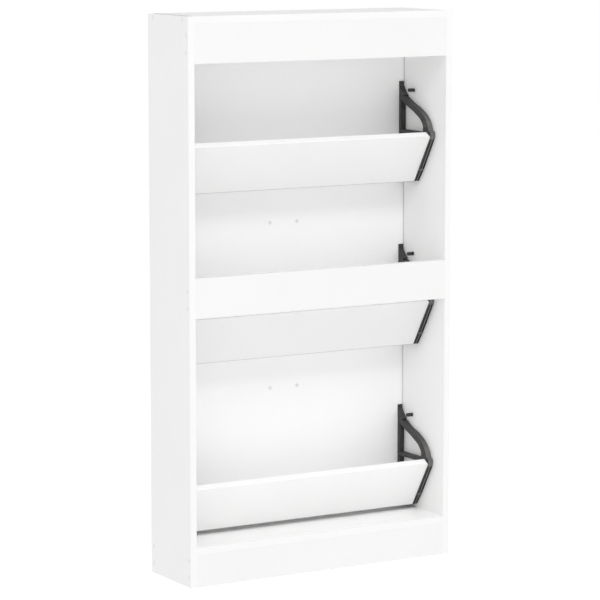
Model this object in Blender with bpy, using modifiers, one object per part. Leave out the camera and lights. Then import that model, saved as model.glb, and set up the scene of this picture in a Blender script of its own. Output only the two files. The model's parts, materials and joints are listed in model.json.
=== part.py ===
"""Shoe cabinet: a tall, shallow carcass of coated boards with three tilting shoe trays.

Metres, +Z up. X is the width and Y the depth, with the front at -Y. The origin lies on the floor,
at the middle of the footprint. Each tray turns on two pivot studs near the lower edge of its board:
at rest its brackets lean on the back sheet, and two stop studs end its tilt towards the front.
"""
import math

import bmesh
import bpy
from mathutils import Matrix, Vector

# Carcass
WIDTH = 0.800                # over the outer faces of the side panels
DEPTH = 0.220
HEIGHT = 1.480
BOARD = 0.018                # thickness of every coated board
EDGE = 0.0008                # softened edges of the boards
FIT = 0.0003                 # clearance between pieces that touch

HEADER_HEIGHT = 0.103
RAIL_HEIGHT = 0.105
RAIL_BOTTOM = 0.705
BASE_HEIGHT = 0.087          # plinth and rear rail, which carry the floor panel
REAR_RAIL_INSET = 0.0066     # from the rear edges of the side panels

BACK_SHEET = 0.003
BACK_INSET = 0.0085          # from the rear edges of the side panels to the sheet's rear face
GROOVE = 0.006               # depth of the grooves that hold the sheet
GROOVE_PLAY = 0.0005

# Fasteners
CAP_RADIUS = 0.0060
CAP_PROUD = 0.0008
HEAD_RADIUS = 0.0047
HEAD_LENGTH = 0.0060
SHANK_RADIUS = 0.0032
SCREW_LENGTH = 0.050
SCREW_TIP = 0.003
SCREW_HEIGHTS = (0.027, 0.072)       # above the lower edge of an upright board
TOP_SCREW_INSET = 0.030              # from the front and rear edges of the top panel
DOWEL_RADIUS = 0.004
DOWEL_LENGTH = 0.030
DOWEL_FOOT = BASE_HEIGHT - 0.020     # a third of each dowel stands in the floor panel
DOWEL_X = 0.250
PLUG_RADIUS = 0.005
PLUG_HEAD = 0.0012
PLUG_STEM_RADIUS = 0.003
PLUG_STEM = 0.006
PLUG_X = 0.042
PLUG_DROP = 0.098                    # below the lower edge of a tray board

# Trays
TRAY_NAMES = ("lower", "middle", "upper")
TRAY_BASE = 0.1165                   # height of the lower tray's bottom edge
TRAY_PITCH = 0.448
TRAY_TILT = math.radians(32.0)       # of the tray board from the vertical, top forward
TRAY_WIDTH = 0.152                   # of the tray board, along its face
TRAY_CORNER = 0.0065                 # rounded upper corners of the tray board
TRAY_FRONT_Y = 0.020                 # lower front edge of the tray board
TRAY_FLOOR_Y = (0.037, 0.094)        # front and rear edge of the tray's floor
TRAY_FLOOR_UP = (0.002, 0.017)       # its underside and top, above the tray's base
BRACKET = 0.015                      # thickness of a bracket
BRACKET_PLAY = 0.001                 # between a bracket and its side panel
PEG_RADIUS = 0.004
PEG_LENGTH = 0.020
PEG_PLACES = (0.042, 0.116)          # along the tray board, from its lower edge
FLOOR_PEG_Y = (0.052, 0.078)         # of the pegs in the tray's floor

PIVOT_Y = 0.010
PIVOT_UP = 0.030                     # above the tray's base
STOP_Y = 0.0475
STOP_UP = 0.246
STUD_RADIUS = 0.005
STUD_EDGE = 0.0008                   # chamfer of a stud's free end
STUD_IN_SIDE = 0.012
PIVOT_REACH = 0.0115                 # of a pivot stud past the side panel's inner face
STOP_REACH = 0.0185

INNER = WIDTH / 2 - BOARD            # half the width between the side panels
FRONT = -DEPTH / 2
REAR = DEPTH / 2
UNDER_TOP = HEIGHT - BOARD
FLOOR_TOP = BASE_HEIGHT + BOARD
SHEET_REAR = REAR - BACK_INSET
SHEET_FRONT = SHEET_REAR - BACK_SHEET
BRACKET_OUTER = INNER - BRACKET_PLAY
BRACKET_INNER = BRACKET_OUTER - BRACKET
TRAY_END = BRACKET_INNER - FIT       # half the length of a tray board

ROUND_STEPS = 12                     # sides of every round piece and hole
OVERCUT = 0.001                      # by which a cutter starts outside its piece
AXES = {"X": Vector((1, 0, 0)), "Y": Vector((0, 1, 0)), "Z": Vector((0, 0, 1))}

# Turns a section drawn as (depth, height) in the XY plane to stand across the cabinet's width.
SECTION_TO_WORLD = Matrix(((0, 0, 1, 0), (1, 0, 0, 0), (0, 1, 0, 0), (0, 0, 0, 1)))
# Stands a plate drawn in the XY plane upright, with its thickness along the depth.
UPRIGHT = Matrix.Rotation(math.radians(90), 4, "X")


# ---------------------------------------------------------------- scene and materials

def clear_scene():
    for obj in list(bpy.data.objects):
        bpy.data.objects.remove(obj, do_unlink=True)


def new_collection(name):
    collection = bpy.data.collections.new(name)
    bpy.context.scene.collection.children.link(collection)
    return collection


def new_material(name, colour, roughness, metallic=0.0):
    material = bpy.data.materials.new(name)
    material.use_nodes = True
    shader = material.node_tree.nodes["Principled BSDF"]
    shader.inputs["Base Color"].default_value = (*colour, 1.0)
    shader.inputs["Roughness"].default_value = roughness
    shader.inputs["Metallic"].default_value = metallic
    return material


def add_object(name, mesh, collection, material=None):
    obj = bpy.data.objects.new(name, mesh)
    collection.objects.link(obj)
    if material and not mesh.materials:
        mesh.materials.append(material)
    return obj


# ---------------------------------------------------------------- shapes

def box(name, low, high, collection, material=None):
    """A closed box between two corners, with its origin in its middle."""
    size = Vector(high) - Vector(low)
    mesh = bpy.data.meshes.new(name)
    solid = bmesh.new()
    bmesh.ops.create_cube(solid, size=1.0, matrix=Matrix.Diagonal((*size, 1.0)))
    solid.to_mesh(mesh)
    solid.free()
    obj = add_object(name, mesh, collection, material)
    obj.location = (Vector(low) + Vector(high)) / 2
    return obj


def soften(obj):
    """Take the sharpness off a board's edges."""
    bevel = obj.modifiers.new("soft_edges", "BEVEL")
    bevel.width = EDGE
    bevel.segments = 1
    bevel.limit_method = "ANGLE"
    bevel.angle_limit = math.radians(40)


def rod(name, radius, length, start, axis, collection, material=None):
    """A closed cylinder from start along axis, which is X, Y or Z."""
    mesh = bpy.data.meshes.new(name)
    solid = bmesh.new()
    bmesh.ops.create_cone(solid, cap_ends=True, segments=ROUND_STEPS, radius1=radius, radius2=radius,
                          depth=length)
    solid.to_mesh(mesh)
    solid.free()
    shade_round(mesh)
    obj = add_object(name, mesh, collection, material)
    obj.rotation_euler = AXES[axis].to_track_quat("Z", "Y").to_euler()
    obj.location = Vector(start) + AXES[axis] * (length / 2)
    return obj


def shade_round(mesh):
    mesh.shade_smooth()
    mesh.set_sharp_from_angle(angle=math.radians(35))


def turned_mesh(name, profile):
    """A profile of (radius, height) points, from the top of the axis down to its foot."""
    mesh = bpy.data.meshes.new(name)
    points = [(radius, 0.0, height) for radius, height in profile]
    mesh.from_pydata(points, [(i, i + 1) for i in range(len(points) - 1)], [])
    return mesh


def turned(name, mesh, start, direction, collection):
    """A turned piece on the mesh's profile, its height axis laid along direction."""
    obj = add_object(name, mesh, collection)
    screw = obj.modifiers.new("turn", "SCREW")
    screw.axis = "Z"
    screw.steps = ROUND_STEPS
    screw.render_steps = ROUND_STEPS
    screw.use_merge_vertices = True
    screw.merge_threshold = 0.00001
    screw.use_smooth_shade = False
    obj.rotation_euler = Vector(direction).to_track_quat("Z", "Y").to_euler()
    obj.location = start
    return obj


def flat_mesh(name, loops, thickness):
    """A plate from closed outlines of (x, y, is_round) points; the later outlines are its windows."""
    curve = bpy.data.curves.new(name, "CURVE")
    curve.dimensions = "2D"
    curve.fill_mode = "BOTH"
    curve.extrude = thickness / 2
    curve.resolution_u = 4
    for loop in loops:
        spline = curve.splines.new("BEZIER")
        spline.use_cyclic_u = True
        spline.bezier_points.add(len(loop) - 1)
        for point, (x, y, is_round) in zip(spline.bezier_points, loop):
            point.co = (x, y, 0.0)
            kind = "AUTO" if is_round else "VECTOR"
            point.handle_left_type = kind
            point.handle_right_type = kind
    holder = bpy.data.objects.new(name + "_outline", curve)
    bpy.context.scene.collection.objects.link(holder)
    evaluated = holder.evaluated_get(bpy.context.evaluated_depsgraph_get())
    mesh = bpy.data.meshes.new_from_object(evaluated)
    mesh.name = name
    mesh.materials.clear()
    bpy.data.objects.remove(holder, do_unlink=True)
    bpy.data.curves.remove(curve)
    solid = bmesh.new()
    solid.from_mesh(mesh)
    bmesh.ops.remove_doubles(solid, verts=solid.verts, dist=0.00001)
    bmesh.ops.recalc_face_normals(solid, faces=solid.faces)
    solid.to_mesh(mesh)
    solid.free()
    return mesh


def combine(obj, tools, operation="DIFFERENCE"):
    """Cut the tools out of a piece, or join them to it."""
    group = bpy.data.collections.new("tools_" + obj.name + "_" + operation.lower())
    tool_collection.children.link(group)
    for tool in tools:
        tool.hide_render = True
        tool.display_type = "WIRE"
        group.objects.link(tool)
        tool_collection.objects.unlink(tool)
    boolean = obj.modifiers.new(operation.lower(), "BOOLEAN")
    boolean.operation = operation
    boolean.solver = "EXACT"
    boolean.operand_type = "COLLECTION"
    boolean.collection = group


# ---------------------------------------------------------------- carcass

def upright_boards():
    """Name, lower edge, upper edge and front face of each board that is screwed through the sides."""
    rear_rail_front = REAR - REAR_RAIL_INSET - BOARD
    return {
        "header_board": (UNDER_TOP - HEADER_HEIGHT, UNDER_TOP - FIT, FRONT),
        "middle_rail": (RAIL_BOTTOM, RAIL_BOTTOM + RAIL_HEIGHT, FRONT),
        "plinth_board": (0.0, BASE_HEIGHT - FIT, FRONT),
        "rear_rail": (0.0, BASE_HEIGHT - FIT, rear_rail_front),
    }


def screw_places():
    """Board, depth and height of each screw in one side panel."""
    places = []
    for name, (bottom, _, front) in upright_boards().items():
        for number, height in enumerate(SCREW_HEIGHTS, start=1):
            places.append((name, number, front + BOARD / 2, bottom + height))
    places.append(("top_panel", 1, FRONT + TOP_SCREW_INSET, HEIGHT - BOARD / 2))
    places.append(("top_panel", 2, REAR - TOP_SCREW_INSET, HEIGHT - BOARD / 2))
    return places


def cross_bore(name, radius, side, mouth, depth, y, z):
    """A cutter for a blind hole along X; mouth is its open end's distance from the middle.

    A positive depth runs towards the cabinet's middle, a negative one away from it.
    """
    over = math.copysign(OVERCUT, depth)
    ends = sorted((side * (mouth + over), side * (mouth - depth)))
    return rod(name, radius + FIT, ends[1] - ends[0], (ends[0], y, z), "X", tool_collection)


def screw_bore(radius, length, side, y, z):
    """A round hole for a screw's head or shank, inwards from a side panel's outer face."""
    return cross_bore("screw_bore", radius, side, WIDTH / 2, length + FIT, y, z)


def end_holes(name):
    """Holes for the screws in both ends of a board."""
    tools = []
    for side in (-1, 1):
        for board, _, y, z in screw_places():
            if board == name:
                tools.append(screw_bore(SHANK_RADIUS, SCREW_LENGTH, side, y, z))
    return tools


def build_side_panel(side, name):
    low_x, high_x = sorted((side * INNER, side * WIDTH / 2))
    panel = box(name, (low_x, FRONT, 0.0), (high_x, REAR, HEIGHT), parts_collection, white_board)
    soften(panel)
    tools = []
    for _, _, y, z in screw_places():
        tools.append(screw_bore(HEAD_RADIUS, HEAD_LENGTH, side, y, z))
        tools.append(screw_bore(SHANK_RADIUS, SCREW_LENGTH, side, y, z))
    for base in tray_bases():
        for y, up in ((PIVOT_Y, PIVOT_UP), (STOP_Y, STOP_UP)):
            tools.append(cross_bore("stud_hole", STUD_RADIUS, side, INNER, -STUD_IN_SIDE - FIT, y, base + up))
    groove_x = sorted((side * (INNER - OVERCUT), side * (INNER + GROOVE)))
    tools.append(box("groove", (groove_x[0], SHEET_FRONT - GROOVE_PLAY, FLOOR_TOP),
                     (groove_x[1], SHEET_REAR + GROOVE_PLAY, UNDER_TOP + GROOVE), tool_collection))
    combine(panel, tools)


def build_carcass():
    build_side_panel(-1, "side_panel_left")
    build_side_panel(1, "side_panel_right")
    half = INNER - FIT

    top = box("top_panel", (-half, FRONT, UNDER_TOP), (half, REAR, HEIGHT), parts_collection, white_board)
    soften(top)
    groove = box("groove", (-half - OVERCUT, SHEET_FRONT - GROOVE_PLAY, UNDER_TOP - OVERCUT),
                 (half + OVERCUT, SHEET_REAR + GROOVE_PLAY, UNDER_TOP + GROOVE), tool_collection)
    combine(top, end_holes("top_panel") + [groove])

    for name, (bottom, upper, front) in upright_boards().items():
        board = box(name, (-half, front, bottom), (half, front + BOARD, upper), parts_collection,
                    white_board)
        soften(board)
        tools = end_holes(name)
        if name == "plinth_board":
            tools += [dowel_hole(x, y) for _, x, y in dowel_places()]
        combine(board, tools)

    floor = box("floor_panel", (-half, FRONT, BASE_HEIGHT), (half, REAR - REAR_RAIL_INSET, FLOOR_TOP),
                parts_collection, white_board)
    soften(floor)
    combine(floor, [dowel_hole(x, y) for _, x, y in dowel_places()])

    in_groove = GROOVE - GROOVE_PLAY
    sheet = box("back_sheet", (-INNER - in_groove, SHEET_FRONT, FLOOR_TOP + FIT),
                (INNER + in_groove, SHEET_REAR, UNDER_TOP + in_groove), parts_collection, back_board)
    combine(sheet, [rod("plug_hole", PLUG_STEM_RADIUS + FIT, BACK_SHEET + 2 * OVERCUT,
                        (x, SHEET_FRONT - OVERCUT, z), "Y", tool_collection) for _, x, z in plug_places()])


# ---------------------------------------------------------------- fasteners and studs

def dowel_places():
    """Name and place of each dowel between the plinth board and the floor panel."""
    return [(f"floor_dowel_{side}", x, FRONT + BOARD / 2)
            for side, x in (("left", -DOWEL_X), ("right", DOWEL_X))]


def dowel_hole(x, y):
    return rod("dowel_hole", DOWEL_RADIUS + FIT, DOWEL_LENGTH + 2 * FIT, (x, y, DOWEL_FOOT - FIT), "Z",
               tool_collection)


def plug_places():
    """Name, width and height of each plug in the back sheet, a pair below each of two trays."""
    places = []
    for row, base in zip(("lower", "upper"), tray_bases()[1:]):
        for side, x in (("left", -PLUG_X), ("right", PLUG_X)):
            places.append((f"back_plug_{row}_{side}", x, base - PLUG_DROP))
    return places


def build_screws():
    """Cabinet screws, each with the round cap that covers its head."""
    profile = ((0.0, CAP_PROUD), (CAP_RADIUS, CAP_PROUD), (CAP_RADIUS, FIT), (HEAD_RADIUS, FIT),
               (HEAD_RADIUS, -HEAD_LENGTH), (SHANK_RADIUS, -HEAD_LENGTH),
               (SHANK_RADIUS, SCREW_TIP - SCREW_LENGTH), (0.0, -SCREW_LENGTH))
    mesh = turned_mesh("cabinet_screw", profile)
    mesh.materials.append(cap_plastic)
    for side_name, side in (("left", -1), ("right", 1)):
        for board, number, y, z in screw_places():
            name = f"screw_{side_name}_{board}_{number}"
            turned(name, mesh, (side * WIDTH / 2, y, z), (side, 0, 0), parts_collection)


def build_dowels():
    for name, x, y in dowel_places():
        rod(name, DOWEL_RADIUS, DOWEL_LENGTH, (x, y, DOWEL_FOOT), "Z", parts_collection, bare_wood)


def build_plugs():
    profile = ((0.0, PLUG_HEAD), (PLUG_RADIUS, PLUG_HEAD), (PLUG_RADIUS, FIT), (PLUG_STEM_RADIUS, FIT),
               (PLUG_STEM_RADIUS, -PLUG_STEM), (0.0, -PLUG_STEM))
    mesh = turned_mesh("back_plug", profile)
    mesh.materials.append(cap_plastic)
    for name, x, z in plug_places():
        turned(name, mesh, (x, SHEET_FRONT, z), (0, -1, 0), parts_collection)


def build_studs():
    """Pivot and stop studs, pressed into both side panels."""
    meshes = {}
    for kind, reach in (("pivot", PIVOT_REACH), ("stop", STOP_REACH)):
        profile = ((0.0, reach), (STUD_RADIUS - STUD_EDGE, reach), (STUD_RADIUS, reach - STUD_EDGE),
                   (STUD_RADIUS, -STUD_IN_SIDE), (0.0, -STUD_IN_SIDE))
        meshes[kind] = turned_mesh(kind + "_stud", profile)
        meshes[kind].materials.append(black_plastic)
    for tray, base in zip(TRAY_NAMES, tray_bases()):
        for side_name, side in (("left", -1), ("right", 1)):
            for kind, y, up in (("pivot", PIVOT_Y, PIVOT_UP), ("stop", STOP_Y, STOP_UP)):
                turned(f"{kind}_stud_{tray}_{side_name}", meshes[kind], (side * INNER, y, base + up),
                       (-side, 0, 0), parts_collection)


# ---------------------------------------------------------------- trays

def tray_bases():
    return [TRAY_BASE + TRAY_PITCH * number for number in range(len(TRAY_NAMES))]


def along_board(distance, depth=0.0):
    """Depth and height over the tray's base of a point on the tray board's section."""
    y = TRAY_FRONT_Y - math.sin(TRAY_TILT) * distance + math.cos(TRAY_TILT) * depth
    up = math.cos(TRAY_TILT) * distance + math.sin(TRAY_TILT) * depth
    return y, up


def peg_places():
    """Depth and height over the tray's base of the pegs in a tray board's end."""
    return [along_board(place, BOARD / 2) for place in PEG_PLACES]


def floor_peg_places():
    """Depth and height over the tray's base of the pegs in the end of a tray's floor."""
    return [(y, sum(TRAY_FLOOR_UP) / 2) for y in FLOOR_PEG_Y]


def bracket_outline():
    """Outer edge and two windows of a bracket, as depth and height over the tray's base."""
    bar_rear = SHEET_FRONT - 0.0005
    bar_front = bar_rear - 0.011
    outer = [
        (bar_rear, 0.268, False), (0.0960, 0.268, False), (0.0960, 0.257, False),
        (0.0905, 0.2490, True), (0.0730, 0.2310, False),
        (0.0755, 0.2270, False), (0.0680, 0.2260, False),
        (0.0480, 0.2150, True), (0.0020, 0.1970, True), (-0.0290, 0.1775, True), (-0.0450, 0.1575, True),
        (-0.0505, 0.1420, False), (-0.0590, 0.1390, False), (-0.0607, 0.1260, False),
        (-0.0580, 0.1195, False), (-0.0050, 0.0325, False), (0.0195, 0.0000, False),
        (0.0780, 0.0000, False), (0.0880, 0.0080, True), (bar_rear, 0.0300, False),
    ]
    upper_window = [
        (bar_front, 0.1370, False), (bar_front, 0.2160, False), (0.0620, 0.2045, True),
        (0.0170, 0.1845, True), (-0.0130, 0.1655, True), (-0.0220, 0.1500, True), (-0.0200, 0.1370, False),
    ]
    lower_window = [
        (bar_front, 0.1260, False), (-0.0320, 0.1260, False), (0.0190, 0.0430, False),
        (0.0430, 0.0230, True), (0.0700, 0.0300, True), (bar_front, 0.0520, False),
    ]
    return [outer, upper_window, lower_window]


def build_bracket(name, mesh, side, base, parent):
    bracket = add_object(name, mesh, parts_collection, dark_plastic)
    middle = side * (BRACKET_OUTER - BRACKET / 2)
    bracket.matrix_world = Matrix.Translation((middle, 0.0, base)) @ SECTION_TO_WORLD
    pegs = []
    for y, up in peg_places() + floor_peg_places():
        ends = sorted((side * (BRACKET_INNER - PEG_LENGTH), side * (BRACKET_INNER + OVERCUT)))
        pegs.append(rod("peg", PEG_RADIUS, ends[1] - ends[0], (ends[0], y, base + up), "X",
                        tool_collection))
    combine(bracket, pegs, "UNION")
    combine(bracket, [cross_bore("pivot_bore", STUD_RADIUS, side, BRACKET_OUTER,
                                 PIVOT_REACH - BRACKET_PLAY + FIT, PIVOT_Y, base + PIVOT_UP)])
    hang(bracket, parent)


def build_tray_board(name, mesh, base, parent):
    board = add_object(name, mesh, parts_collection, white_board)
    y, up = along_board(0.0, BOARD / 2)
    tilt = Matrix.Rotation(TRAY_TILT, 4, "X")
    board.matrix_world = Matrix.Translation((0.0, y, base + up)) @ tilt @ UPRIGHT
    soften(board)
    combine(board, [cross_bore("peg_hole", PEG_RADIUS, side, TRAY_END, PEG_LENGTH, y, base + up)
                    for side in (-1, 1) for y, up in peg_places()])
    hang(board, parent)


def build_tray_floor(name, base, parent):
    """The board that closes a tray's pocket from below."""
    low, high = (base + up for up in TRAY_FLOOR_UP)
    floor = box(name, (-TRAY_END, TRAY_FLOOR_Y[0], low), (TRAY_END, TRAY_FLOOR_Y[1], high),
                parts_collection, white_board)
    soften(floor)
    combine(floor, [cross_bore("peg_hole", PEG_RADIUS, side, TRAY_END, PEG_LENGTH, y, base + up)
                    for side in (-1, 1) for y, up in floor_peg_places()])
    hang(floor, parent)


def tray_board_outline():
    """Square lower corners and rounded upper ones; the lower edge runs along y = 0."""
    outline = [(-TRAY_END, 0.0, False), (TRAY_END, 0.0, False)]
    corner_steps = 4
    for side in (1, -1):
        for step in range(corner_steps + 1):
            turn = step if side > 0 else corner_steps - step
            angle = math.radians(90) * turn / corner_steps
            x = side * (TRAY_END - TRAY_CORNER + TRAY_CORNER * math.cos(angle))
            outline.append((x, TRAY_WIDTH - TRAY_CORNER + TRAY_CORNER * math.sin(angle), False))
    return outline


def hang(obj, parent):
    """Parent a piece to its tray's pivot and keep it where it is."""
    bpy.context.view_layer.update()
    world = obj.matrix_world.copy()
    obj.parent = parent
    obj.matrix_parent_inverse = parent.matrix_world.inverted()
    obj.matrix_world = world


def build_trays():
    bracket_plate = flat_mesh("tray_bracket", bracket_outline(), BRACKET)
    board_plate = flat_mesh("tray_board", [tray_board_outline()], BOARD)
    for tray, base in zip(TRAY_NAMES, tray_bases()):
        pivot = bpy.data.objects.new(f"pivot_{tray}", None)
        parts_collection.objects.link(pivot)
        pivot.location = (0.0, PIVOT_Y, base + PIVOT_UP)
        bpy.context.view_layer.update()
        build_tray_board(f"tray_board_{tray}", board_plate, base, pivot)
        build_tray_floor(f"tray_floor_{tray}", base, pivot)
        for side_name, side in (("left", -1), ("right", 1)):
            build_bracket(f"tray_bracket_{tray}_{side_name}", bracket_plate, side, base, pivot)


clear_scene()
parts_collection = new_collection("shoe_cabinet")
tool_collection = new_collection("tools")
white_board = new_material("white_coated_board", (0.88, 0.88, 0.87), 0.55)
back_board = new_material("white_back_sheet", (0.84, 0.84, 0.83), 0.60)
dark_plastic = new_material("dark_grey_plastic", (0.05, 0.048, 0.046), 0.45)
black_plastic = new_material("black_plastic", (0.02, 0.02, 0.02), 0.40)
cap_plastic = new_material("white_cap_plastic", (0.78, 0.78, 0.77), 0.45)
bare_wood = new_material("beech_dowel", (0.62, 0.44, 0.27), 0.70)

build_carcass()
build_screws()
build_dowels()
build_plugs()
build_studs()
build_trays()
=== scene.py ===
"""Looks of the shoe cabinet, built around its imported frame. Metres, +Z up, the front at -Y."""
import json
import math

import bmesh
import bpy
from mathutils import Matrix, Vector

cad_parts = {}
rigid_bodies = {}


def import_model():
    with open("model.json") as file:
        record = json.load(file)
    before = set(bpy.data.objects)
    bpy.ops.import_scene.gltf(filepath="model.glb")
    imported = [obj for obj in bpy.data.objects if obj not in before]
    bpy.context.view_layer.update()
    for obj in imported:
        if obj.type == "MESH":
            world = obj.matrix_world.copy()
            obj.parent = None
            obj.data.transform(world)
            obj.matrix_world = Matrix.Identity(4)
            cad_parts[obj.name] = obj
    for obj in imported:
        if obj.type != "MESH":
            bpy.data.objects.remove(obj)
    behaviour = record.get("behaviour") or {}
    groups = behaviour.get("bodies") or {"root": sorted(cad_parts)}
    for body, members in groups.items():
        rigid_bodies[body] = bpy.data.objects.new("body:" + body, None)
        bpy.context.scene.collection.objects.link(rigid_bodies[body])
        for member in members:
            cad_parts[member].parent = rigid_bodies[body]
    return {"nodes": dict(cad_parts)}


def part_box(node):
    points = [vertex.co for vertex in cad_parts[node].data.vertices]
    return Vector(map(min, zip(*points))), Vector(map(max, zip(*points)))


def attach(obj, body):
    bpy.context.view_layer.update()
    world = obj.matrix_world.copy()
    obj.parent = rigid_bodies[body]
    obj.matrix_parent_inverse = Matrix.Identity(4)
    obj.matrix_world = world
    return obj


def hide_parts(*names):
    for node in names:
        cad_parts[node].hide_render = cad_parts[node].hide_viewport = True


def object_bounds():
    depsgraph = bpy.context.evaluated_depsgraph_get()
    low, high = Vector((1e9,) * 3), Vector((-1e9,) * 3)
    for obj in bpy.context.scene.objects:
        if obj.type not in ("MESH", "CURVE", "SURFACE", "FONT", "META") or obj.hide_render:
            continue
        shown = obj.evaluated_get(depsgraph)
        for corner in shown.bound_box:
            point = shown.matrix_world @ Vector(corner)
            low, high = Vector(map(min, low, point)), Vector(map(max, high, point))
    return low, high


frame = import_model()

cad_low, cad_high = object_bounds()

TRAYS = ("lower", "middle", "upper")
SIDES = (("left", -1), ("right", 1))

# Boards
BAND = 0.0010                # thickness of an edge band
CRISP = 0.00025              # edge radius of every board
JOINT = 0.00010              # chamfer along the glue line of an edge band
SHEET_EDGE = 0.0002          # chamfer of the back sheet
SHEET_PLAY = 0.0005          # of the back sheet in its grooves
SHEET_FRONT_PLAY = 0.0026    # in front of it
GROOVE_REACH = CRISP / 5     # faces this near a groove's box are its walls
OUTER_REACH = 0.002          # faces this near the whole cabinet's box are outside faces
COAT, BANDED, CORE, OUTSIDE_DARKER_SLOT, GROOVE_SHADOW_SLOT = range(5)     # material slots of a board
ALONG_AXIS = 0.99            # share of a unit normal above which a face looks along an axis

# Shading
SHARP_ANGLE = math.radians(38)       # edges sharper than this keep a crease
ROUND_ANGLE = math.radians(42)       # edges sharper than this are rounded
FLAT_WEIGHT = 100                    # of large faces in their edges' normals
SAME_POINT = 0.00001                 # points closer than this are merged

# Trays: distances along the board's face start at its lower edge
TRAY_TILT = math.radians(32.0)
TRAY_LENGTH = 0.152
TRAY_THICK = 0.018
TRAY_CORNER = 0.0065         # radius of its upper corners
CORNER_STEPS = 12

# Brackets: points are depth and height over the tray's base
BRACKET = 0.015              # thickness
BRACKET_EDGE = 0.0006
BRACKET_TOP = 0.268
BAR_PLAY = 0.0005            # between the rear bar and the back sheet
BAR_DEPTH = 0.011            # of the rear bar
CROSS_LOW, CROSS_HIGH = 0.1260, 0.1370       # the cross bar
RAIL_RIB = 0.0036            # rib between the two grooves in a bracket's front rail
RAIL_WALL = 0.0011
RAIL_GROOVE = 0.0040         # depth of those grooves
RAIL_BLOCK = 0.0060          # length of the solid block between the rail's two straights
RAIL_END = 0.0020            # where the grooves stop short of the rail's ends
RAIL_TOP, RAIL_KNEE, RAIL_FOOT = (-0.0580, 0.1195), (-0.0050, 0.0325), (0.0195, 0.0)
HIGHLIGHT_REAR = 0.060             # behind this no face gets the painted highlight of the bracket's front edge
HIGHLIGHT_LEAN = -0.3               # nor if its normal leans forward less than this
HIGHLIGHT_FADE_LOW, HIGHLIGHT_FADE_HIGH = 0.165, 0.203   # heights between which the painted highlight on the arm's front edge fades out

# Fasteners: heights are over the face that they sit in
CAP_RADIUS = 0.0060
CAP_PROUD = 0.0008
CAP_RIM = 0.0004             # radius of the cap's rounded rim
HEAD_RADIUS = 0.0047
HEAD_LENGTH = 0.0060
THREAD_RADIUS = 0.0032
THREAD_ROOT = 0.0024
THREAD_START, THREAD_END = -0.0080, -0.0460
SCREW_PITCH = 0.0030
PLUG_HEAD = 0.0012
PLUG_RADIUS = 0.0050
PLUG_STEM = 0.0030           # its radius
STUD_RADIUS = 0.0050
STUD_DEPTH = 0.012           # in the side panel
STUD_ENDS = (("pivot", 0.0008), ("stop", 0.0016))    # radius of the rounded free end
MOULD_RING = 0.0002          # depth of the fine ring round a stud
TURNED_STEPS = 32            # sides of a turned cap or plug
STUD_STEPS = 40

# Tones of the finishes
# one melamine in two copies: painted darker on the outside faces, which get more light, and painted lighter
# on the inside faces, against the shade there
OUTSIDE_PAINTED_DARKER_TONE = 0.845
INSIDE_PAINTED_LIGHTER_TONE = 0.91
FLOOR_PAINTED_LIGHTER_TONE = 0.960          # of the floor panel's upper face, painted lighter against the shade under the lowest tray
GROOVE_PAINTED_SHADOW_TONE = 0.40          # inside the back sheet's grooves: painted shadow that darkens the line at the back corners
# each tray's board is painted lighter or darker for the light it gets; the lowest, in the floor's shade, is
# lightest
TRAY_PAINTED_SHADE_TONES = {"lower": 0.905, "middle": 0.855, "upper": 0.865}
BAND_TONE = 0.87
# the trays' bands are painted lighter than the carcass's, for the light on the boards' upper edges
TRAY_BAND_PAINTED_LIGHTER_TONE = 0.98
LOWER_EDGE_PAINTED_SHADOW_TONE = 0.30       # of the band on a tray board's lower edge, a painted shadow line under the board
FOIL_TONE = 0.97
SIDE_TONE = 0.040            # of the brackets
# painted highlight on the brackets' forward-facing faces
BRACKET_PAINTED_HIGHLIGHT_TONE = 0.135

# Studio
SKY = 0.79
FLOOR_TONE = 0.50
FLOOR_GLOW = 0.61
FLOOR_RADIUS = 90.0
HORIZON = 1.0                # brightness of the sky at the horizon, which fades to SKY
HAZE = 0.30                  # height, as a sine, at which the fade ends
KEY_TURN = math.radians(-20)     # from straight in front, towards -X
KEY_RISE = math.radians(47)
KEY_REACH = 15.0
KEY_SIZE = 5.5
KEY_POWER = 530.0
LIGHT_BOUNCES = 24               # white boards pass light on many times inside the cabinet
SUBJECT = Vector((0.0, 0.0, 0.8))
CAMERA_PLACE = (-3.867, -6.5425, 1.785)
CAMERA_DROP = math.radians(8.016)        # below the horizontal
CAMERA_TURN = math.radians(-30.545)      # from straight along +Y
CAMERA_LENS = 172.80


# ---------------------------------------------------------------- materials

def new_material(name, colour, roughness, specular=0.5):
    material = bpy.data.materials.new(name)
    material.use_nodes = True
    shader = material.node_tree.nodes["Principled BSDF"]
    shader.inputs["Base Color"].default_value = (*colour, 1.0)
    shader.inputs["Roughness"].default_value = roughness
    shader.inputs["Specular IOR Level"].default_value = specular
    return material


def add_node(material, kind, **inputs):
    node = material.node_tree.nodes.new(kind)
    for name, value in inputs.items():
        node.inputs[name.replace("_", " ")].default_value = value
    return node


def noise(material, scale, detail=2.0, stretch=(1.0, 1.0, 1.0)):
    """Noise in the piece's own coordinates, stretched along its axes."""
    links = material.node_tree.links
    place = add_node(material, "ShaderNodeTexCoord")
    mapping = add_node(material, "ShaderNodeMapping", Scale=stretch)
    texture = add_node(material, "ShaderNodeTexNoise", Scale=scale, Detail=detail)
    links.new(place.outputs["Object"], mapping.inputs["Vector"])
    links.new(mapping.outputs["Vector"], texture.inputs["Vector"])
    return texture.outputs["Fac"]


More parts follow.
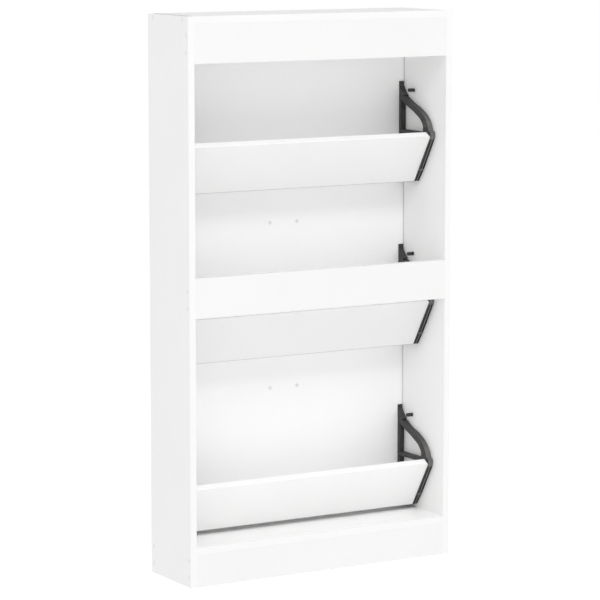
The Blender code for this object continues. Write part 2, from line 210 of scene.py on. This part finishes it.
def vary(material, socket, source, low, high):
    """Drive a shader socket between two values, or two colours, from a 0 to 1 source."""
    links = material.node_tree.links
    shader = material.node_tree.nodes["Principled BSDF"]
    ramp = material.node_tree.nodes.new("ShaderNodeValToRGB")
    ramp.color_ramp.elements[0].position = 0.3
    ramp.color_ramp.elements[1].position = 0.7
    for element, value in zip(ramp.color_ramp.elements, (low, high)):
        element.color = (*value, 1.0) if isinstance(value, tuple) else (value, value, value, 1.0)
    links.new(source, ramp.inputs["Fac"])
    links.new(ramp.outputs["Color"], shader.inputs[socket])


def bump(material, source, distance, strength=1.0):
    """Add a layer of relief over the ones already there."""
    tree = material.node_tree
    shader = tree.nodes["Principled BSDF"]
    node = add_node(material, "ShaderNodeBump", Distance=distance, Strength=strength)
    tree.links.new(source, node.inputs["Height"])
    if shader.inputs["Normal"].links:
        tree.links.new(shader.inputs["Normal"].links[0].from_socket, node.inputs["Normal"])
    tree.links.new(node.outputs["Normal"], shader.inputs["Normal"])


def coated(name, tone, roughness=0.5):
    """Matt melamine coating: an even off-white with a fine pearl grain."""
    spread = 0.008
    material = new_material(name, (tone, tone, tone - 0.002), roughness, 0.35)
    low, high = tone - spread, tone + spread
    vary(material, "Base Color", noise(material, 5.0, 3.0), (low, low, low - 0.003),
         (high, high, high - 0.002))
    vary(material, "Roughness", noise(material, 140.0, 3.0), roughness - 0.06, roughness + 0.06)
    bump(material, noise(material, 900.0, 2.0), 0.00003, 0.5)
    bump(material, noise(material, 60.0, 1.0), 0.00006, 0.3)
    return material


def edge_band(name, tone):
    """Plastic edge band: a touch smoother than the faces, with faint lengthwise drawing lines."""
    material = new_material(name, (tone,) * 3, 0.42, 0.4)
    vary(material, "Base Color", noise(material, 9.0), (tone - 0.008,) * 3, (tone + 0.007,) * 3)
    vary(material, "Roughness", noise(material, 260.0, 2.0), 0.36, 0.48)
    bump(material, noise(material, 700.0, 1.0, (1.0, 1.0, 0.12)), 0.00002, 0.4)
    return material


def chipboard():
    """Raw particle board, where an edge has no band."""
    material = new_material("raw_chipboard", (0.50, 0.38, 0.25), 0.85, 0.2)
    vary(material, "Base Color", noise(material, 420.0, 4.0), (0.36, 0.25, 0.15), (0.66, 0.53, 0.38))
    bump(material, noise(material, 420.0, 4.0), 0.0004, 0.8)
    return material


def back_foil():
    """White foil on thin hardboard, less even than the boards' coating."""
    material = new_material("white_back_foil", (FOIL_TONE,) * 3, 0.55, 0.3)
    vary(material, "Base Color", noise(material, 3.0, 3.0), (FOIL_TONE - 0.010,) * 3,
         (FOIL_TONE + 0.010,) * 3)
    vary(material, "Roughness", noise(material, 90.0, 3.0), 0.48, 0.62)
    bump(material, noise(material, 350.0, 3.0), 0.00005, 0.5)
    bump(material, noise(material, 9.0, 1.0), 0.0004, 0.15)
    return material


def bracket_plastic(name, tone, roughness):
    """Charcoal moulded plastic with an eroded grain."""
    material = new_material(name, (tone, tone * 0.96, tone * 0.94), roughness, 0.45)
    vary(material, "Base Color", noise(material, 40.0, 4.0), (tone * 0.86, tone * 0.83, tone * 0.81),
         (tone * 1.12, tone * 1.08, tone * 1.06))
    vary(material, "Roughness", noise(material, 500.0, 3.0), roughness - 0.08, roughness + 0.10)
    bump(material, noise(material, 1500.0, 3.0), 0.00006, 0.7)
    return material


def painted_highlight_plastic():
    """The smoother front edge of a bracket, painted lighter as a highlight, which fades into the darker grain
    at the arm's top.
    """
    material = bracket_plastic("charcoal_plastic_painted_highlight", BRACKET_PAINTED_HIGHLIGHT_TONE, 0.42)
    links = material.node_tree.links
    base_colour = material.node_tree.nodes["Principled BSDF"].inputs["Base Color"]
    place = add_node(material, "ShaderNodeTexCoord")
    split = add_node(material, "ShaderNodeSeparateXYZ")
    fade = add_node(material, "ShaderNodeMapRange", From_Min=HIGHLIGHT_FADE_LOW, From_Max=HIGHLIGHT_FADE_HIGH)
    mix = add_node(material, "ShaderNodeMixRGB", Color2=(SIDE_TONE, SIDE_TONE, SIDE_TONE, 1.0))
    links.new(place.outputs["Object"], split.inputs["Vector"])
    links.new(split.outputs["Y"], fade.inputs["Value"])
    links.new(fade.outputs["Result"], mix.inputs["Fac"])
    links.new(base_colour.links[0].from_socket, mix.inputs["Color1"])
    links.new(mix.outputs["Color"], base_colour)
    return material


def stud_plastic():
    """Black turned-looking plastic, smoother than the brackets."""
    material = new_material("black_stud_plastic", (0.02, 0.02, 0.02), 0.38, 0.5)
    vary(material, "Base Color", noise(material, 60.0, 2.0), (0.016, 0.016, 0.016), (0.026, 0.026, 0.026))
    vary(material, "Roughness", noise(material, 700.0, 2.0), 0.30, 0.45)
    bump(material, noise(material, 1200.0, 2.0), 0.00003, 0.6)
    return material


def cap_plastic():
    """White moulded plastic of the screw caps and plugs."""
    material = new_material("white_cap_plastic", (0.78, 0.78, 0.775), 0.4, 0.45)
    vary(material, "Base Color", noise(material, 30.0, 2.0), (0.765, 0.765, 0.76), (0.79, 0.79, 0.785))
    vary(material, "Roughness", noise(material, 600.0, 2.0), 0.34, 0.46)
    bump(material, noise(material, 1300.0, 2.0), 0.00003, 0.5)
    return material


def screw_steel():
    """Zinc-plated steel of the screws under their caps."""
    material = new_material("zinc_steel", (0.60, 0.60, 0.58), 0.35)
    material.node_tree.nodes["Principled BSDF"].inputs["Metallic"].default_value = 1.0
    vary(material, "Roughness", noise(material, 800.0, 3.0), 0.25, 0.5)
    bump(material, noise(material, 1500.0, 2.0), 0.00002, 0.5)
    return material


def beech():
    """Bare beech with its grain along the dowel."""
    material = new_material("bare_beech", (0.62, 0.44, 0.27), 0.7, 0.3)
    grain = noise(material, 220.0, 4.0, (1.0, 1.0, 0.06))
    vary(material, "Base Color", grain, (0.50, 0.34, 0.20), (0.70, 0.52, 0.34))
    bump(material, grain, 0.0001, 0.7)
    return material


# ---------------------------------------------------------------- mesh helpers

def finish_mesh(mesh, materials):
    for material in materials:
        mesh.materials.append(material)
    mesh.shade_smooth()
    mesh.set_sharp_from_angle(angle=SHARP_ANGLE)


def add_piece(name, mesh):
    """A new object whose large faces keep flat shading next to their rounded edges."""
    piece = bpy.data.objects.new(name, mesh)
    bpy.context.scene.collection.objects.link(piece)
    weighted = piece.modifiers.new("flat_faces", "WEIGHTED_NORMAL")
    weighted.weight = FLAT_WEIGHT
    weighted.keep_sharp = True
    return piece


def place(piece, node, body, slot):
    """The piece stands for a CAD node, on that node's body."""
    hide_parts(node)
    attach(piece, body)


def add_block(solid, low, high, radius, segments, material):
    """Add a box with rounded edges to a bmesh."""
    block = bmesh.new()
    size = high - low
    bmesh.ops.create_cube(block, size=1.0, matrix=Matrix.Translation((low + high) / 2) @
                          Matrix.Diagonal((*size, 1.0)))
    bmesh.ops.bevel(block, geom=block.edges[:], offset=radius, segments=segments, profile=0.5,
                    affect="EDGES", clamp_overlap=True)
    for face in block.faces:
        face.material_index = material
    holder = bpy.data.meshes.new("block")
    block.to_mesh(holder)
    block.free()
    solid.from_mesh(holder)
    bpy.data.meshes.remove(holder)


def flat_mesh(name, loops, thickness, resolution=10):
    """A plate from closed outlines of (x, y, is_round) points; the later outlines are its windows."""
    curve = bpy.data.curves.new(name, "CURVE")
    curve.dimensions = "2D"
    curve.fill_mode = "BOTH"
    curve.extrude = thickness / 2
    curve.resolution_u = resolution
    for loop in loops:
        spline = curve.splines.new("BEZIER")
        spline.use_cyclic_u = True
        spline.bezier_points.add(len(loop) - 1)
        for point, (x, y, is_round) in zip(spline.bezier_points, loop):
            point.co = (x, y, 0.0)
            point.handle_left_type = point.handle_right_type = "AUTO" if is_round else "VECTOR"
    holder = bpy.data.objects.new(name, curve)
    mesh = evaluated_mesh(holder)
    solid = bmesh.new()
    solid.from_mesh(mesh)
    bmesh.ops.remove_doubles(solid, verts=solid.verts, dist=SAME_POINT)
    bmesh.ops.recalc_face_normals(solid, faces=solid.faces)
    solid.to_mesh(mesh)
    solid.free()
    mesh.materials.clear()
    return mesh


def evaluated_mesh(obj):
    """The object's mesh with its modifiers applied; the object itself is removed."""
    bpy.context.scene.collection.objects.link(obj)
    graph = bpy.context.evaluated_depsgraph_get()
    mesh = bpy.data.meshes.new_from_object(obj.evaluated_get(graph))
    bpy.data.objects.remove(obj, do_unlink=True)
    return mesh


def cut(mesh, cutters):
    """The mesh with the cutter meshes taken out of it."""
    obj = bpy.data.objects.new("to_cut", mesh)
    group = bpy.data.collections.new("cutters")
    for number, cutter in enumerate(cutters):
        group.objects.link(bpy.data.objects.new(f"cutter_{number}", cutter))
    bpy.context.scene.collection.children.link(group)
    boolean = obj.modifiers.new("cut", "BOOLEAN")
    boolean.operation = "DIFFERENCE"
    boolean.solver = "EXACT"
    boolean.operand_type = "COLLECTION"
    boolean.collection = group
    result = evaluated_mesh(obj)
    for cutter in list(group.objects):
        bpy.data.objects.remove(cutter, do_unlink=True)
    bpy.data.collections.remove(group)
    return result


def rounded(mesh, width, segments):
    """The mesh with its sharp edges rounded."""
    obj = bpy.data.objects.new("to_round", mesh)
    bevel = obj.modifiers.new("round", "BEVEL")
    bevel.width = width
    bevel.segments = segments
    bevel.limit_method = "ANGLE"
    bevel.angle_limit = ROUND_ANGLE
    return evaluated_mesh(obj)


def box_mesh(low, high):
    mesh = bpy.data.meshes.new("box")
    solid = bmesh.new()
    low, high = Vector(low), Vector(high)
    bmesh.ops.create_cube(solid, size=1.0, matrix=Matrix.Translation((low + high) / 2) @
                          Matrix.Diagonal((*(high - low), 1.0)))
    solid.to_mesh(mesh)
    solid.free()
    return mesh


def lathe_mesh(name, profile, steps, materials, slots=None):
    """A body turned about +Z from (radius, height) points, with one material slot per ring of faces."""
    mesh = bpy.data.meshes.new(name)
    solid = bmesh.new()
    rings = []
    for radius, height in profile:
        if radius == 0.0:
            rings.append([solid.verts.new((0.0, 0.0, height))])
        else:
            rings.append([solid.verts.new((radius * math.cos(math.tau * i / steps),
                                           radius * math.sin(math.tau * i / steps), height))
                          for i in range(steps)])
    for index, (upper, lower) in enumerate(zip(rings, rings[1:])):
        for i in range(steps):
            j = (i + 1) % steps
            corners = [upper[i % len(upper)], lower[i % len(lower)], lower[j % len(lower)],
                       upper[j % len(upper)]]
            face = solid.faces.new(list(dict.fromkeys(corners)))
            face.material_index = slots[index] if slots else 0
    bmesh.ops.recalc_face_normals(solid, faces=solid.faces)
    solid.to_mesh(mesh)
    solid.free()
    finish_mesh(mesh, materials)
    return mesh


def turn_along(piece, start, direction):
    """Stand a turned piece at start with its height axis along direction."""
    piece.location = start
    piece.rotation_mode = "QUATERNION"
    piece.rotation_quaternion = Vector(direction).to_track_quat("Z", "Y")


# ---------------------------------------------------------------- carcass boards

# Which edges of each board carry a band: the axis they lie across and the side they are on.
FRONT_EDGE, REAR_EDGE, LOWER_EDGE, UPPER_EDGE = (1, -1), (1, 1), (2, -1), (2, 1)
BOARDS = {
    "tray_floor_lower": (FRONT_EDGE, REAR_EDGE),
    "tray_floor_middle": (FRONT_EDGE, REAR_EDGE),
    "tray_floor_upper": (FRONT_EDGE, REAR_EDGE),
    "side_panel_left": (FRONT_EDGE, REAR_EDGE, UPPER_EDGE),
    "side_panel_right": (FRONT_EDGE, REAR_EDGE, UPPER_EDGE),
    "top_panel": (FRONT_EDGE, REAR_EDGE),
    "header_board": (LOWER_EDGE,),
    "middle_rail": (LOWER_EDGE, UPPER_EDGE),
    "plinth_board": (LOWER_EDGE,),
    "rear_rail": (LOWER_EDGE,),
    "floor_panel": (FRONT_EDGE, REAR_EDGE),
}


def board_box(node):
    """The board's box, grown to meet its neighbours with no visible gap."""
    low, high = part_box(node)
    if node in ("header_board", "plinth_board", "rear_rail"):
        high.z = round(high.z, 3)
    if not node.startswith(("side_panel", "tray_floor")):
        low.x, high.x = -inner_wall, inner_wall
    return low, high


def sheet_groove():
    """Corners of the space that the back sheet's grooves take, around the sheet."""
    low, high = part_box("back_sheet")
    return (low - Vector((SHEET_PLAY, SHEET_FRONT_PLAY, SHEET_PLAY)),
            high + Vector((SHEET_PLAY, SHEET_PLAY, SHEET_PLAY)))


def paint_groove_shadow(mesh, low, high):
    """Paint grey shadow on the faces that a groove has opened in a board, to darken the corner line."""
    for face in mesh.polygons:
        if all(low[axis] - GROOVE_REACH < face.center[axis] < high[axis] + GROOVE_REACH for axis in range(3)):
            face.material_index = GROOVE_SHADOW_SLOT


def build_board(node, banded):
    low, high = board_box(node)
    core_low, core_high = low.copy(), high.copy()
    solid = bmesh.new()
    for axis, end in banded:
        if end < 0:
            core_low[axis] += BAND
        else:
            core_high[axis] -= BAND
    add_block(solid, core_low, core_high, CRISP, 2, COAT)
    for face in solid.faces:
        for axis, end in ((0, -1), (0, 1), (1, -1), (1, 1), (2, -1), (2, 1)):
            thin = axis != (high - low)[:].index(min(high - low))
            if thin and (axis, end) not in banded and face.normal[axis] * end > ALONG_AXIS:
                face.material_index = CORE
    for axis, end in banded:
        band_low, band_high = core_low.copy(), core_high.copy()
        if end < 0:
            band_low[axis], band_high[axis] = low[axis], low[axis] + BAND
        else:
            band_low[axis], band_high[axis] = high[axis] - BAND, high[axis]
        if axis == 1:       # the front and rear bands run over the ends of the others
            band_low.z, band_high.z = low.z, high.z
        add_block(solid, band_low, band_high, CRISP, 2, BANDED)
    # coated faces on the outside of the cabinet take the copy of the melamine painted darker
    for face in solid.faces:
        axis = max(range(3), key=lambda index: abs(face.normal[index]))
        end = cad_high[axis] if face.normal[axis] > 0 else cad_low[axis]
        if face.material_index == COAT and abs(face.calc_center_median()[axis] - end) < OUTER_REACH:
            face.material_index = OUTSIDE_DARKER_SLOT
    mesh = bpy.data.meshes.new(node + "_boards")
    solid.to_mesh(mesh)
    solid.free()
    # the floor panel takes a coat painted lighter against the shade under the lowest tray
    coat = floor_coat_painted_lighter if node == "floor_panel" else melamine
    for material in (coat, band, raw, outside_coat_painted_darker, groove_painted_shadow):
        mesh.materials.append(material)
    if node.startswith("side_panel") or node == "top_panel":
        mesh = cut(mesh, [box_mesh(*sheet_groove())])
        paint_groove_shadow(mesh, *sheet_groove())
    mesh.shade_smooth()
    mesh.set_sharp_from_angle(angle=SHARP_ANGLE)
    body = node.replace("tray_floor", "tray") if node.startswith("tray_floor") else "cabinet"
    place(add_piece(node + "_coated", mesh), node, body, "white_board")


def build_back_sheet():
    low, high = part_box("back_sheet")
    solid = bmesh.new()
    add_block(solid, low, high, SHEET_EDGE, 1, 0)
    for face in solid.faces:
        if abs(face.normal.y) < 0.5:
            face.material_index = 1
    mesh = bpy.data.meshes.new("back_sheet_foiled")
    solid.to_mesh(mesh)
    solid.free()
    finish_mesh(mesh, (foil, raw))
    place(add_piece("back_sheet_foiled", mesh), "back_sheet", "cabinet", "back_board")


# ---------------------------------------------------------------- trays

SECTION_TO_WORLD = Matrix(((0, 0, 1, 0), (1, 0, 0, 0), (0, 1, 0, 0), (0, 0, 0, 1)))


def tray_outline(inset):
    """The tray board's face, with rounded upper corners, drawn in by inset; its lower edge is at y = 0."""
    half = tray_half - inset
    radius = TRAY_CORNER - inset
    top = TRAY_LENGTH - inset
    outline = [(-half, inset, False), (half, inset, False)]
    for side in (1, -1):
        for step in range(CORNER_STEPS + 1):
            turn = step if side > 0 else CORNER_STEPS - step
            angle = math.radians(90) * turn / CORNER_STEPS
            outline.append((side * (half - radius + radius * math.cos(angle)),
                            top - radius + radius * math.sin(angle), False))
    return outline


def tray_board_mesh():
    """A coated core with an edge band all the way round; the band along the lower edge is grey, a painted
    shadow line.
    """
    solid = bmesh.new()
    core = rounded(flat_mesh("tray_core", [tray_outline(BAND)], TRAY_THICK), JOINT, 1)
    frame_plate = flat_mesh("tray_band", [tray_outline(0.0), tray_outline(BAND)], TRAY_THICK)
    ring = rounded(frame_plate, CRISP, 2)
    solid.from_mesh(core)
    split = len(solid.faces)
    solid.from_mesh(ring)
    solid.faces.ensure_lookup_table()
    for face in solid.faces[split:]:
        # the band along the lower edge takes the grey painted shadow
        face.material_index = 2 if face.calc_center_median().y < BAND else 1
    mesh = bpy.data.meshes.new("tray_board_coated")
    solid.to_mesh(mesh)
    solid.free()
    finish_mesh(mesh, (tray_coats_painted_shade["lower"], tray_band, lower_edge_painted_shadow))
    return mesh


def bracket_loops():
    """Outer edge and two windows of a bracket, as depth and height over the tray's base."""
    bar_rear = sheet_front - BAR_PLAY
    bar_front = bar_rear - BAR_DEPTH
    outer = [
        (bar_rear, BRACKET_TOP, False), (0.0960, BRACKET_TOP, False), (0.0960, 0.257, False),
        (0.0905, 0.2490, True), (0.0730, 0.2310, False),
        (0.0755, 0.2270, False), (0.0680, 0.2260, False),
        (0.0480, 0.2150, True), (0.0020, 0.1970, True), (-0.0290, 0.1775, True), (-0.0450, 0.1575, True),
        (-0.0505, 0.1420, False), (-0.0590, 0.1390, False), (-0.0607, 0.1260, False),
        RAIL_TOP + (False,), RAIL_KNEE + (False,), RAIL_FOOT + (False,),
        (0.0780, 0.0, False), (0.0880, 0.0080, True), (bar_rear, 0.0300, False),
    ]
    upper_window = [
        (bar_front, CROSS_HIGH, False), (bar_front, 0.2160, False), (0.0620, 0.2045, True),
        (0.0170, 0.1845, True), (-0.0130, 0.1655, True), (-0.0220, 0.1500, True),
        (-0.0200, CROSS_HIGH, False),
    ]
    lower_window = [
        (bar_front, CROSS_LOW, False), (-0.0320, CROSS_LOW, False), (0.0190, 0.0430, False),
        (0.0430, 0.0230, True), (0.0700, 0.0300, True), (bar_front, 0.0520, False),
    ]
    return [outer, upper_window, lower_window]


def rail_grooves():
    """Cutters for the two grooves on each straight of the bracket's front rail."""
    cutters = []
    width = (BRACKET - RAIL_RIB) / 2 - RAIL_WALL
    top, knee, foot = Vector(RAIL_TOP), Vector(RAIL_KNEE), Vector(RAIL_FOOT)
    for start, end, start_gap, end_gap in ((top, knee, RAIL_END, RAIL_BLOCK / 2),
                                           (knee, foot, RAIL_BLOCK / 2, RAIL_END)):
        along = (end - start).normalized()
        first, last = start + along * start_gap, end - along * end_gap
        middle, half = (first + last) / 2, (last - first).length / 2
        turn = Matrix.Rotation(math.atan2(along.y, along.x), 4, "Z")
        for side in (-1, 1):
            cutter = box_mesh((-half, -RAIL_GROOVE, -width / 2), (half, RAIL_GROOVE, width / 2))
            offset = side * (RAIL_RIB + width) / 2
            cutter.transform(Matrix.Translation((middle.x, middle.y, offset)) @ turn)
            cutters.append(cutter)
    return cutters


def behind_rail(point):
    """How far a point of the bracket's section lies behind the front rail's outer line."""
    foot, knee, top = Vector(RAIL_FOOT), Vector(RAIL_KNEE), Vector(RAIL_TOP)
    start, end = (foot, knee) if point.y < knee.y else (knee, top)
    along = (end - start).normalized()
    offset = point.xy - start
    return offset.x * along.y - offset.y * along.x


def bracket_mesh():
    """The moulded bracket; its smoother front edge is painted lighter than its grained sides, a painted
    highlight.
    """
    plate = flat_mesh("bracket_plate", bracket_loops(), BRACKET)
    mesh = rounded(cut(plate, rail_grooves()), BRACKET_EDGE, 2)
    mesh.name = "bracket_moulded"
    finish_mesh(mesh, (charcoal, charcoal_painted_highlight))
    for face in mesh.polygons:
        # forward-leaning faces, except in the rail's grooves, take the painted highlight
        forward = face.normal.x < HIGHLIGHT_LEAN and face.center.x < HIGHLIGHT_REAR
        in_groove = face.center.y < RAIL_TOP[1] and behind_rail(face.center) > RAIL_GROOVE / 4
        face.material_index = 1 if forward and not in_groove else 0
    return mesh


def build_trays():
    board_mesh = tray_board_mesh()
    plate = bracket_mesh()
    for tray in TRAYS:
        node = f"tray_board_{tray}"
        body = f"tray_{tray}"
        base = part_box(f"tray_bracket_{tray}_left")[0].z
        board = add_piece(f"tray_board_{tray}_coated", board_mesh.copy())
        board.data.materials[0] = tray_coats_painted_shade[tray]
        middle_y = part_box(node)[1].y - math.cos(TRAY_TILT) * TRAY_THICK / 2
        middle_z = base + math.sin(TRAY_TILT) * TRAY_THICK / 2
        board.matrix_world = (Matrix.Translation((0.0, middle_y, middle_z)) @
                              Matrix.Rotation(TRAY_TILT + math.radians(90), 4, "X"))
        place(board, node, body, "white_board")
        for side_name, side in SIDES:
            node = f"tray_bracket_{tray}_{side_name}"
            low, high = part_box(node)
            outer = low.x if side < 0 else high.x
            bracket = add_piece(f"tray_bracket_{tray}_{side_name}_moulded", plate)
            bracket.matrix_world = (Matrix.Translation((outer - side * BRACKET / 2, 0.0, base)) @
                                    SECTION_TO_WORLD)
            place(bracket, node, body, "dark_plastic")


# ---------------------------------------------------------------- fasteners

def arc(centre_radius, centre_height, radius, start, end, steps):
    """Points of an arc in a turned profile; angles in degrees from the outward direction."""
    points = []
    for step in range(steps + 1):
        angle = math.radians(start + (end - start) * step / steps)
        points.append((centre_radius + radius * math.cos(angle), centre_height + radius * math.sin(angle)))
    return points


def build_screws():
    """Cover caps with a softly domed face, and the threaded screws beneath them."""
    profile = [(0.0, CAP_PROUD), (CAP_RADIUS * 0.45, CAP_PROUD - 0.00004),
               (CAP_RADIUS * 0.8, CAP_PROUD - 0.00015)]
    profile += arc(CAP_RADIUS - CAP_RIM, CAP_PROUD - 0.0002 - CAP_RIM, CAP_RIM, 80, 0, 5)
    profile += [(CAP_RADIUS, 0.00005), (HEAD_RADIUS, 0.0)]
    slots = [0] * len(profile)
    profile += [(HEAD_RADIUS, -HEAD_LENGTH), (THREAD_RADIUS, -HEAD_LENGTH - 0.0002)]
    depth = THREAD_START
    while depth > THREAD_END:
        profile += [(THREAD_ROOT, depth), (THREAD_RADIUS, depth - SCREW_PITCH / 2)]
        depth -= SCREW_PITCH
    profile += [(0.0020, -0.0480), (0.0, -0.0500)]
    slots += [1] * (len(profile) - len(slots))
    mesh = lathe_mesh("capped_screw", profile, TURNED_STEPS, (caps, steel), slots)
    for node in sorted(frame["nodes"]):
        if node.startswith("screw_"):
            low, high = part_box(node)
            side = -1 if node.startswith("screw_left") else 1
            piece = add_piece(node + "_capped", mesh)
            start = (side * panel_face, (low.y + high.y) / 2, (low.z + high.z) / 2)
            turn_along(piece, start, (side, 0, 0))
            place(piece, node, "cabinet", "cap_plastic")


def build_plugs():
    """Round plugs in the back sheet, with a dimple in the head and a barbed stem behind."""
    dimple = PLUG_HEAD - 0.0003
    profile = [(0.0, dimple), (0.0012, dimple), (0.0015, PLUG_HEAD - 0.00004), (0.0030, PLUG_HEAD)]
    profile += arc(PLUG_RADIUS - 0.0005, PLUG_HEAD - 0.0006, 0.0005, 70, 0, 4)
    profile += [(PLUG_RADIUS, 0.0), (PLUG_STEM, 0.0), (PLUG_STEM, -0.0038)]
    profile += [(0.0033, -0.0045), (0.0028, -0.0060), (0.0, -0.0060)]
    mesh = lathe_mesh("sheet_plug", profile, TURNED_STEPS, (caps,))
    for node in sorted(frame["nodes"]):
        if node.startswith("back_plug"):
            low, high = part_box(node)
            piece = add_piece(node + "_domed", mesh)
            turn_along(piece, ((low.x + high.x) / 2, sheet_front, (low.z + high.z) / 2), (0, -1, 0))
            place(piece, node, "cabinet", "cap_plastic")


def build_studs():
    """Black studs with a rounded free end and a fine ring where the mould parts."""
    for kind, end_radius in STUD_ENDS:
        for tray in TRAYS:
            for side_name, side in SIDES:
                node = f"{kind}_stud_{tray}_{side_name}"
                low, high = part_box(node)
                wall = side * inner_wall
                reach = abs((low.x if side > 0 else high.x) - wall)
                profile = [(0.0, reach), (STUD_RADIUS * 0.4, reach)]
                profile += arc(STUD_RADIUS - end_radius, reach - end_radius, end_radius, 90, 0, 6)
                ring = STUD_RADIUS - MOULD_RING
                profile += [(STUD_RADIUS, 0.0012), (ring, 0.0010), (ring, 0.0004), (STUD_RADIUS, 0.0002),
                            (STUD_RADIUS, -STUD_DEPTH), (0.0, -STUD_DEPTH)]
                mesh = lathe_mesh(node + "_turned", profile, STUD_STEPS, (black,))
                piece = add_piece(node + "_turned", mesh)
                turn_along(piece, (wall, (low.y + high.y) / 2, (low.z + high.z) / 2), (-side, 0, 0))
                place(piece, node, "cabinet", "black_plastic")


def finish_dowels():
    for node, obj in frame["nodes"].items():
        if node.startswith("floor_dowel"):
            obj.data.materials.clear()
            obj.data.materials.append(wood)


# ---------------------------------------------------------------- stage, light and camera

def build_stage():
    mesh = bpy.data.meshes.new("floor")
    solid = bmesh.new()
    bmesh.ops.create_circle(solid, cap_ends=True, radius=FLOOR_RADIUS, segments=96)
    solid.to_mesh(mesh)
    solid.free()
    material = new_material("pale_floor", (FLOOR_TONE,) * 3, 0.9, 0.0)
    shader = material.node_tree.nodes["Principled BSDF"]
    shader.inputs["Emission Color"].default_value = (1.0, 1.0, 1.0, 1.0)
    shader.inputs["Emission Strength"].default_value = FLOOR_GLOW
    mesh.materials.append(material)
    floor = bpy.data.objects.new("studio_floor", mesh)
    bpy.context.scene.collection.objects.link(floor)


def add_key():
    """One large soft light, high in front and a little to the left."""
    light = bpy.data.lights.new("key", "AREA")
    light.shape = "DISK"
    light.size = KEY_SIZE
    light.energy = KEY_POWER
    direction = Vector((math.sin(KEY_TURN) * math.cos(KEY_RISE), -math.cos(KEY_TURN) * math.cos(KEY_RISE),
                        math.sin(KEY_RISE)))
    lamp = bpy.data.objects.new("key", light)
    lamp.location = SUBJECT + direction * KEY_REACH
    lamp.rotation_mode = "QUATERNION"
    lamp.rotation_quaternion = (-direction).to_track_quat("-Z", "Y")
    bpy.context.scene.collection.objects.link(lamp)


def build_light():
    world = bpy.data.worlds.new("studio")
    world.use_nodes = True
    background = world.node_tree.nodes["Background"]
    background.inputs["Color"].default_value = (1.0, 1.0, 1.0, 1.0)
    place = world.node_tree.nodes.new("ShaderNodeTexCoord")
    split = world.node_tree.nodes.new("ShaderNodeSeparateXYZ")
    fade = world.node_tree.nodes.new("ShaderNodeMapRange")
    fade.inputs["From Max"].default_value = HAZE
    fade.inputs["To Min"].default_value = HORIZON
    fade.inputs["To Max"].default_value = SKY
    world.node_tree.links.new(place.outputs["Generated"], split.inputs["Vector"])
    world.node_tree.links.new(split.outputs["Z"], fade.inputs["Value"])
    world.node_tree.links.new(fade.outputs["Result"], background.inputs["Strength"])
    scene = bpy.context.scene
    scene.world = world
    add_key()
    scene.view_settings.view_transform = "Standard"
    scene.view_settings.look = "None"
    scene.cycles.max_bounces = LIGHT_BOUNCES
    scene.cycles.diffuse_bounces = LIGHT_BOUNCES


def build_camera():
    camera = bpy.data.cameras.new("camera")
    camera.sensor_width = 36.0
    camera.lens = CAMERA_LENS
    camera.clip_start = 0.1
    camera.clip_end = 200.0
    holder = bpy.data.objects.new("camera", camera)
    holder.location = CAMERA_PLACE
    holder.rotation_euler = (math.radians(90.0) - CAMERA_DROP, 0.0, CAMERA_TURN)
    bpy.context.scene.collection.objects.link(holder)
    bpy.context.scene.camera = holder


# the inside copy of the melamine is painted lighter and the outside copy painted darker, for the light that
# falls on each
melamine = coated("white_melamine_inside_painted_lighter", INSIDE_PAINTED_LIGHTER_TONE)
outside_coat_painted_darker = coated("white_melamine_outside_painted_darker", OUTSIDE_PAINTED_DARKER_TONE)
# floor panel coat painted lighter to cancel the shade under the lowest tray
floor_coat_painted_lighter = coated("white_melamine_floor_painted_lighter", FLOOR_PAINTED_LIGHTER_TONE)
# grey painted shadow for the walls of the back sheet's grooves
groove_painted_shadow = coated("grey_painted_groove_shadow", GROOVE_PAINTED_SHADOW_TONE, 0.65)
# copies of the tray melamine painted lighter or darker per tray for the light each gets
tray_coats_painted_shade = {tray: coated(f"white_melamine_painted_shade_tray_{tray}", tone) for tray, tone in TRAY_PAINTED_SHADE_TONES.items()}
# the tray band is painted lighter for the light on the trays' upper edges
band, tray_band = edge_band("white_edge_band", BAND_TONE), edge_band("white_tray_band_painted_lighter", TRAY_BAND_PAINTED_LIGHTER_TONE)
# grey painted shadow line for the trays' lower edges
lower_edge_painted_shadow = edge_band("grey_lower_edge_painted_shadow", LOWER_EDGE_PAINTED_SHADOW_TONE)
foil, raw = back_foil(), chipboard()
charcoal = bracket_plastic("charcoal_plastic", SIDE_TONE, 0.5)
# the brackets' front edges carry a painted highlight that fades out at the arm's top
charcoal_painted_highlight = painted_highlight_plastic()
black, caps, steel, wood = stud_plastic(), cap_plastic(), screw_steel(), beech()

inner_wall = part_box("side_panel_right")[0].x
panel_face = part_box("side_panel_right")[1].x
sheet_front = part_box("back_sheet")[0].y
tray_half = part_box("tray_board_lower")[1].x

for board_name, banded_edges in BOARDS.items():
    build_board(board_name, banded_edges)
build_back_sheet()
build_trays()
build_screws()
build_plugs()
build_studs()
finish_dowels()
build_stage()
build_light()
build_camera()
